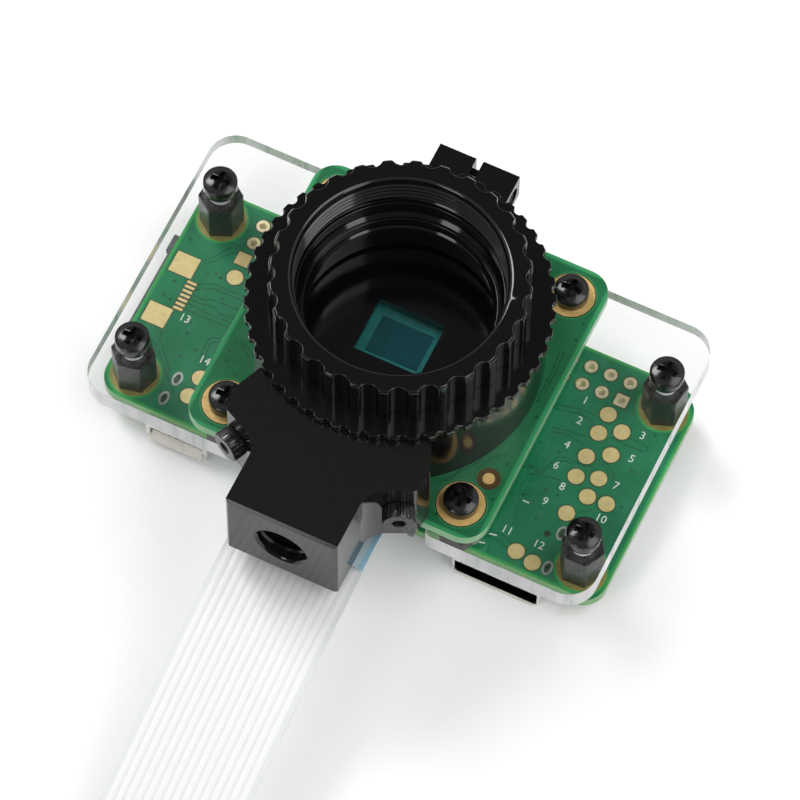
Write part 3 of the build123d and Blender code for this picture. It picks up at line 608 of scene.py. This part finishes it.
# Plated slots: an oval tin ring round a slot, and one hole without a ring; each slot and the hole are a dark
# disc of painted shade
slot_outer, slot_inner, slot_painted_shade = (0.62, 0.95), (0.34, 0.67), (0.36, 0.69)
slot_height, hole_painted_shade = 0.06, 0.42
slot_low, slot_high = computer_top - sunk, computer_top + slot_height
bm = bmesh.new()
for x, y in ((25.45, -13.25), (-24.2, -9.95), (-24.5, -12.9), (25.1, -8.5)):
    outer, inner = disc(x, y, *slot_outer), disc(x, y, *slot_inner)
    rows = [at(outer, slot_low), at(outer, slot_high), at(inner, slot_high), at(inner, slot_low)]
    loft(bm, rows, closed=True)
    mark(ground_and_shade_bm, disc(x, y, *slot_painted_shade), ground_and_shade_height)
slot_rings = from_bmesh("plated_slots", bm)
mark(ground_and_shade_bm, disc(23.6, -9.3, hole_painted_shade), ground_and_shade_height)

# Gold rings of the camera board, under its screws, and its round alignment mark on bare ground
camera_ring = 2.85
camera_gap_inner, camera_gap_outer = 2.8, 3.0
mark_x, mark_y = 16.5, -10.7
mark_radius, mark_ground_radius = 0.72, 1.4
bm = bmesh.new()
for x in (-camera_hole_x, camera_hole_x):
    for y in (-camera_hole_y, camera_hole_y):
        plated_hole(bm, x, y, camera_ring, screw_hole, camera_bottom, camera_top)
        flat_ring(ground_and_shade_bm, x, y, camera_gap_inner, camera_gap_outer,
                  camera_top - sunk, camera_top + ground_and_shade_height)
mark(bm, disc(mark_x, mark_y, mark_radius), pad_height, camera_top)
camera_rings = from_bmesh("camera_hole_rings", bm)
gaps_and_hole_shade = from_bmesh("gaps_and_hole_shade", ground_and_shade_bm)

bm = bmesh.new()
mark(bm, disc(mark_x, mark_y, mark_ground_radius), ground_and_shade_height, camera_top)
mark_ground = from_bmesh("mark_ground", bm)

# Gaps in the copper beside the traces, and filled vias
computer_lines = [
    [(17.1, 6.4), (20.2, 7.1), (22.3, 7.1)],
    [(17.1, 5.8), (20.2, 6.5), (22.4, 6.3)],
    [(18.4, 3.5), (20.3, 3.9), (22.3, 4.1)],
    [(18.5, 3.0), (20.3, 3.4), (22.2, 3.2)],
    [(24.9, 5.9), (27.4, 6.2), (29.3, 6.1), (29.6, 5.7), (29.3, 5.3), (27.6, 5.2), (25.0, 5.3)],
    [(16.8, -2.2), (19.1, -2.2), (20.0, -1.3), (20.4, 0.1), (21.1, 0.6), (23.8, 0.6), (24.6, 0.9)],
    [(17.2, -2.6), (19.5, -2.5), (20.4, -1.3), (20.8, -0.3), (21.4, 0.2), (22.3, 0.2)],
    [(18.3, -3.1), (20.2, -2.6), (21.3, -2.4), (22.3, -2.4)],
    [(24.8, 2.0), (25.9, 2.0), (26.7, 1.6), (27.4, 0.9), (27.5, 0.2)],
    [(25.2, 1.6), (25.8, 1.6), (26.5, 1.2), (27.0, 0.8)],
    [(28.5, 0.0), (29.0, -0.7), (29.7, -0.8)],
    [(28.2, -5.0), (29.6, -4.9), (30.1, -4.3)],
    [(26.9, -4.4), (26.0, -5.0), (25.8, -5.2)],
    [(16.9, -11.7), (19.0, -11.7), (20.3, -12.2)],
    [(16.5, -12.5), (19.0, -12.5), (20.2, -13.0)],
    [(-27.6, 2.3), (-26.9, 2.9), (-25.7, 3.3), (-24.4, 3.2), (-21.5, 3.3)],
    [(-27.6, 1.5), (-26.7, 2.2), (-25.6, 2.7), (-24.2, 2.7), (-21.3, 2.7)],
    [(-27.6, 0.8), (-26.3, 0.8), (-25.1, 1.3), (-21.5, 1.4)],
    [(-27.6, 0.2), (-26.1, 0.2), (-24.6, 0.5), (-23.8, 0.0), (-21.0, 0.1)],
    [(-27.6, -0.4), (-25.9, -0.5), (-23.8, -0.6), (-20.8, -0.6)],
    [(-27.7, -1.3), (-25.7, -1.2), (-20.6, -1.3)],
    [(-23.0, -6.8), (-23.3, -3.8), (-22.8, -3.1), (-21.9, -3.0)],
    [(-22.5, -6.8), (-22.8, -4.1), (-22.4, -3.6), (-21.9, -3.5)],
    [(-29.4, -6.5), (-28.0, -7.4), (-26.6, -8.9), (-25.1, -10.5), (-23.7, -11.8)],
    [(-28.6, -5.9), (-27.6, -7.0), (-26.2, -8.6), (-25.4, -9.5)],
    [(-28.6, 5.4), (-27.5, 6.6), (-26.7, 8.1), (-25.4, 9.3)],
    [(-28.1, 5.2), (-27.0, 6.3), (-26.2, 7.6), (-25.4, 8.3)],
]
camera_lines = [
    [(-17.0, -7.3), (-15.4, -8.5), (-13.9, -10.1)],
    [(-16.7, -7.0), (-15.0, -8.2), (-13.4, -9.9)],
    [(10.3, -14.1), (11.4, -13.6), (12.5, -12.7), (13.2, -11.2), (13.9, -10.3), (14.9, -8.7)],
    [(10.8, -13.4), (11.9, -12.9), (12.7, -11.9), (13.3, -10.5)],
    [(15.1, -11.7), (14.7, -10.4), (15.6, -8.2), (17.0, -6.9)],
    [(16.9, 7.9), (17.2, 5.0), (17.2, 1.4)],
    [(17.4, 7.9), (17.6, 5.2), (17.6, 1.9)],
    [(13.0, 12.0), (11.6, 12.6), (9.0, 16.3)],
]
computer_vias = [
    (17.8, 1.2), (18.9, -5.8), (21.1, -4.2), (22.6, -4.3), (21.6, -8.0), (28.9, 2.3), (29.5, 2.4),
    (29.9, -2.4), (29.0, -6.3), (29.6, 7.8), (20.3, 0.9), (27.2, -7.4), (-28.7, -5.4), (-24.0, -5.6),
    (-30.4, 1.6), (-30.6, -0.6), (-29.7, -0.8), (-27.3, 4.2), (-26.4, 4.7), (-25.6, 4.3), (-25.9, -4.0),
    (-25.2, -7.0), (-26.2, -2.6), (-31.2, 7.4), (-24.2, 1.9),
]
camera_vias = [
    (-17.6, -7.4), (-17.7, -8.9), (-17.4, -10.2), (-15.7, -11.3), (18.0, -12.9), (17.6, -8.1), (18.1, -1.1),
    (17.4, 0.8), (18.0, 9.9), (12.6, -16.2), (13.0, -17.4), (17.9, 12.2), (8.2, 17.6), (-17.5, 14.2),
]
trace_gap_width, via_radius, via_height = 0.13, 0.22, 0.01
bm = bmesh.new()
for lines, top in ((computer_lines, computer_top), (camera_lines, camera_top)):
    for line in lines:
        strip(bm, line, trace_gap_width, top - sunk, top + trace_height)
for places, top in ((computer_vias, computer_top), (camera_vias, camera_top)):
    for x, y in places:
        mark(bm, disc(x, y, via_radius, count=14), via_height, top)
trace_gaps = from_bmesh("trace_gaps", bm)

# Plain numbers beside the test pads, and short printed marks
numbers = [("1", 20.3, 8.4), ("2", 20.8, 5.7), ("3", 28.3, 7.1), ("4", 20.8, 2.2), ("5", 28.4, 3.8),
           ("6", 20.8, -0.8), ("7", 28.2, -0.2), ("8", 22.6, -3.0), ("9", 21.6, -5.6), ("10", 28.4, -4.8),
           ("11", 19.2, -10.9), ("12", 23.3, -11.0), ("13", -27.0, -2.4), ("14", -22.4, -6.4)]
dashes = [[(16.9, -13.7), (17.6, -13.5)], [(17.5, -12.2), (18.4, -12.0)], [(20.0, -6.6), (19.2, -6.6)]]
number_size, number_half_height, number_lift = 1.45, 0.008, 0.012
dash_width, dash_height = 0.16, 0.02
bm = bmesh.new()
for text, x, y in numbers:
    data = bpy.data.curves.new("number", "FONT")
    data.body = text
    data.size = number_size * MM
    data.align_x = "CENTER"
    data.align_y = "CENTER"
    data.extrude = number_half_height * MM
    data.resolution_u = 2
    writing = link("number", data)
    mesh = bpy.data.meshes.new_from_object(writing)
    mesh.transform(Matrix.Translation((x, y, computer_top + number_lift)) @ Matrix.Scale(1 / MM, 4))
    bm.from_mesh(mesh)
    bpy.data.objects.remove(writing)
    bpy.data.meshes.remove(mesh)
for line in dashes:
    strip(bm, line, dash_width, computer_top - sunk, computer_top + dash_height)
print_marks = from_bmesh("print_marks", bm)

dress(header_pads, pale_gold)
dress(header_barrels, barrel_painted_light)
dress(hole_rings, olive_gold_and_shade)
dress(test_pads, gold)
dress(camera_rings, ring_gold)
dress(gaps_and_hole_shade, ground_and_hole_shade)
dress(mark_ground, mark_brown)
dress(trace_gaps, trace_gap)
dress(print_marks, print_white)
dress(slot_rings, tin)

# Knurls on the heads of the two cap screws: ridges from the seat to the face of each head
seat_angle = radians(25.4)
knurl_count, knurl_half_turn = 34, 0.055
knurl_foot, knurl_crest = 1.8, 1.93
knurl_start, knurl_end = 23.95, 25.5
upward = Vector((0, 0, 1))
bm = bmesh.new()
for side in (1, -1):
    outward = Vector((side * sin(seat_angle), -cos(seat_angle), 0))
    across = upward.cross(outward)
    for i in range(knurl_count):
        angle = 2 * pi * i / knurl_count
        before, after = angle - knurl_half_turn, angle + knurl_half_turn
        corners = [(across * cos(turn) + upward * sin(turn)) * radius
                   for turn, radius in ((before, knurl_foot), (angle, knurl_crest), (after, knurl_foot))]
        middles = [outward * reach + upward * cap_screw_middle for reach in (knurl_start, knurl_end)]
        loft(bm, [[middle + corner for corner in corners] for middle in middles])
knurls = from_bmesh("knurls", bm)
dress(knurls, dark_steel)

# Flared lower lips of the sockets at the front edge, sloping from a back place to a front one. They are shell
# metal painted pale cream: painted light for the lit metal inside the mouth.
lip_thickness = 0.12
usb_lip, video_lip = ((0.42, -33.0), (-0.5, -33.95)), ((0.0, -34.42), (-0.28, -34.5))
bm = bmesh.new()
for x, half, lip in ((-21.5, 3.4, usb_lip), (-8.9, 3.4, usb_lip), (20.1, 4.9, video_lip)):
    upper = [(socket_front + y, z) for y, z in lip]
    section = upper + [(y, z - lip_thickness) for y, z in reversed(upper)]
    loft(bm, [[(side, y, z) for y, z in section] for side in (x - half, x + half)])
lips = from_bmesh("socket_lips", bm)
soften(lips, 0.04)
# Painted light: the metal lips take the pale cream
dress(lips, cream_and_lip_light)

# Latch of the edge connector: a thin bar with a wider ear at each end, and arms into the socket.
# One half of its outline is mirrored to make the other
latch_half = [(-31.6, 6.7), (-29.2, 6.7), (-29.2, 7.3), (-32.3, 7.3), (-32.3, 8.0), (-33.6, 8.0),
              (-33.6, 5.6), (-33.2, 5.6)]
latch_outline = [(x, -y) for x, y in reversed(latch_half)] + latch_half
bm = bmesh.new()
plate(bm, latch_outline, latch_bottom, latch_top)
latch = from_bmesh("edge_latch_bar", bm)
soften(latch, 0.08)
dress(latch, latch_grey, "edge_latch")
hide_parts("edge_ribbon_latch")


def thread(name, radius, depth, pitch, turns, start, place, finish, body):
    """A helical ridge inside a bore along Z, with sloping flanks and a flat crest, fading at both ends."""
    per_turn, run_out = 72, 12
    root_half, crest_half, into_wall = 0.36, 0.14, 0.05
    steps = int(turns * per_turn)
    rows = []
    for i in range(steps + 1):
        angle = 2 * pi * i / per_turn
        z = start - pitch * i / per_turn
        crest = radius - depth * min(1.0, i / run_out, (steps - i) / run_out)
        root = radius + into_wall
        row = []
        for r, share in ((root, root_half), (crest, crest_half), (crest, -crest_half), (root, -root_half)):
            row.append(place @ Vector((r * cos(angle), r * sin(angle), z + share * pitch)))
        rows.append(row)
    bm = bmesh.new()
    loft(bm, rows)
    dress(from_bmesh(name, bm, 40), finish, body)


thread("lens_thread", radius=12.4, depth=0.26, pitch=0.794, turns=4.4, start=-1.15, place=Matrix.Identity(4),
       finish=ring_black, body="focus_ring")
into_block = Matrix.Translation((0, block_front, block_middle)) @ Matrix.Rotation(radians(90), 4, "X")
thread("tripod_thread", radius=3.05, depth=0.25, pitch=1.27, turns=7.2, start=-0.7, place=into_block,
       finish=black_nylon, body="module")

# Lead-in of the lens bore, and the two sloping steps further down, as (radius, z)
lead_in = [(12.99, 0.0), (12.3, -0.85), (12.5, -0.85), (12.99, -0.1)]
upper_step = [(11.95, -6.72), (11.45, -7.22), (11.95, -7.22)]
lower_step = [(11.15, -8.55), (10.82, -8.85), (10.82, -9.7), (11.15, -9.7)]
bm = bmesh.new()
for section in (lead_in, upper_step, lower_step):
    lathe(bm, section, count=120)
bore_steps = from_bmesh("bore_steps", bm)
soften(bore_steps, 0.05)
dress(bore_steps, ring_black, "focus_ring")

# Sensor die under its glass
die_half_x, die_half_y, die_height = 3.3, 2.5, 0.03
bm = bmesh.new()
die_outline = rectangle(-die_half_x, -die_half_y, die_half_x, die_half_y)
plate(bm, die_outline, sensor_top - sunk, sensor_top + die_height)
die = from_bmesh("sensor_die", bm)
dress(die, die_teal)

# Floor, white where the light is full
floor_half, floor_thickness, floor_gap = 4000, 10, 0.01
bm = bmesh.new()
floor_outline = rectangle(-floor_half, -floor_half, floor_half, floor_half)
plate(bm, floor_outline, surface - floor_thickness, surface - floor_gap)
floor = from_bmesh("floor", bm)
m = material("floor_white")
rays = m.light_path()
seen = m.math("ADD", m.math("ADD", rays["Is Camera Ray"], rays["Is Glossy Ray"]), rays["Is Transmission Ray"])
seen = m.math("MINIMUM", seen, 1.0)
tone = m.between(m.noise(40.0, 3.0), 0.945, 0.955)
paper_colour = m.add("ShaderNodeCombineColor", {0: tone, 1: tone, 2: tone}).outputs[0]
paper = m.add("ShaderNodeBsdfDiffuse", {"Color": paper_colour}).outputs[0]
glow = m.add("ShaderNodeEmission", {"Color": grey(1.0), "Strength": m.math("MULTIPLY", seen, 0.1)}).outputs[0]
floor.data.materials.append(m.finish(m.add("ShaderNodeAddShader", {0: paper, 1: glow}).outputs[0]))

# World: a light tent, brighter behind the object, with a dark opening high up; the camera sees it white
w = Nodes(bpy.data.worlds.new("studio"), "ShaderNodeOutputWorld", "Generated")


def toward(axis, low, high, at_low, at_high):
    """at_low to at_high as the direction's part along the axis goes from low to high."""
    axis = Vector(axis).normalized()
    part = w.add("ShaderNodeVectorMath", {0: w.coordinates, 1: axis}, operation="DOT_PRODUCT")
    return w.between(part.outputs["Value"], at_low, at_high, low, high, interpolation_type="SMOOTHSTEP")


overhead = toward((0, 0, 1), 0.0, 0.85, 0.2, 1.0)
opening = toward((-0.19, 0.41, 0.89), 0.80, 0.92, 1.0, 0.12)
behind = toward((-0.35, 0.94, 0), -1.0, 1.0, 0.25, 1.4)
level = w.math("MULTIPLY", w.math("MULTIPLY", overhead, opening), behind)
sky = w.add("ShaderNodeBackground", {"Strength": level}).outputs[0]
white = w.add("ShaderNodeBackground", {"Color": grey(1.0), "Strength": 1.0}).outputs[0]
scene.world = w.finish(w.blend(w.light_path()["Is Camera Ray"], sky, white))


# Lamps, in metres
object_middle = Vector((0, 0, -0.03))


def area_light(name, direction, distance, size, watts):
    """A soft box in that direction, facing the object, its width and height given by size."""
    data = bpy.data.lights.new(name, "AREA")
    data.shape = "RECTANGLE"
    data.size, data.size_y = size
    data.energy = watts
    lamp = link(name, data)
    lamp.location = Vector(direction).normalized() * distance + object_middle
    lamp.rotation_euler = Vector(direction).to_track_quat("Z", "Y").to_euler()


area_light("key", (-0.58, 0.24, 0.80), 1.1, (0.4, 0.4), 5.2)
area_light("right", (0.50, 0.10, 0.86), 1.1, (0.6, 0.6), 3.2)
area_light("front_right", (0.714, -0.333, 0.616), 1.0, (0.26, 0.6), 1.6)
area_light("front_left", (-0.257, -0.745, 0.616), 1.0, (0.26, 0.6), 1.6)
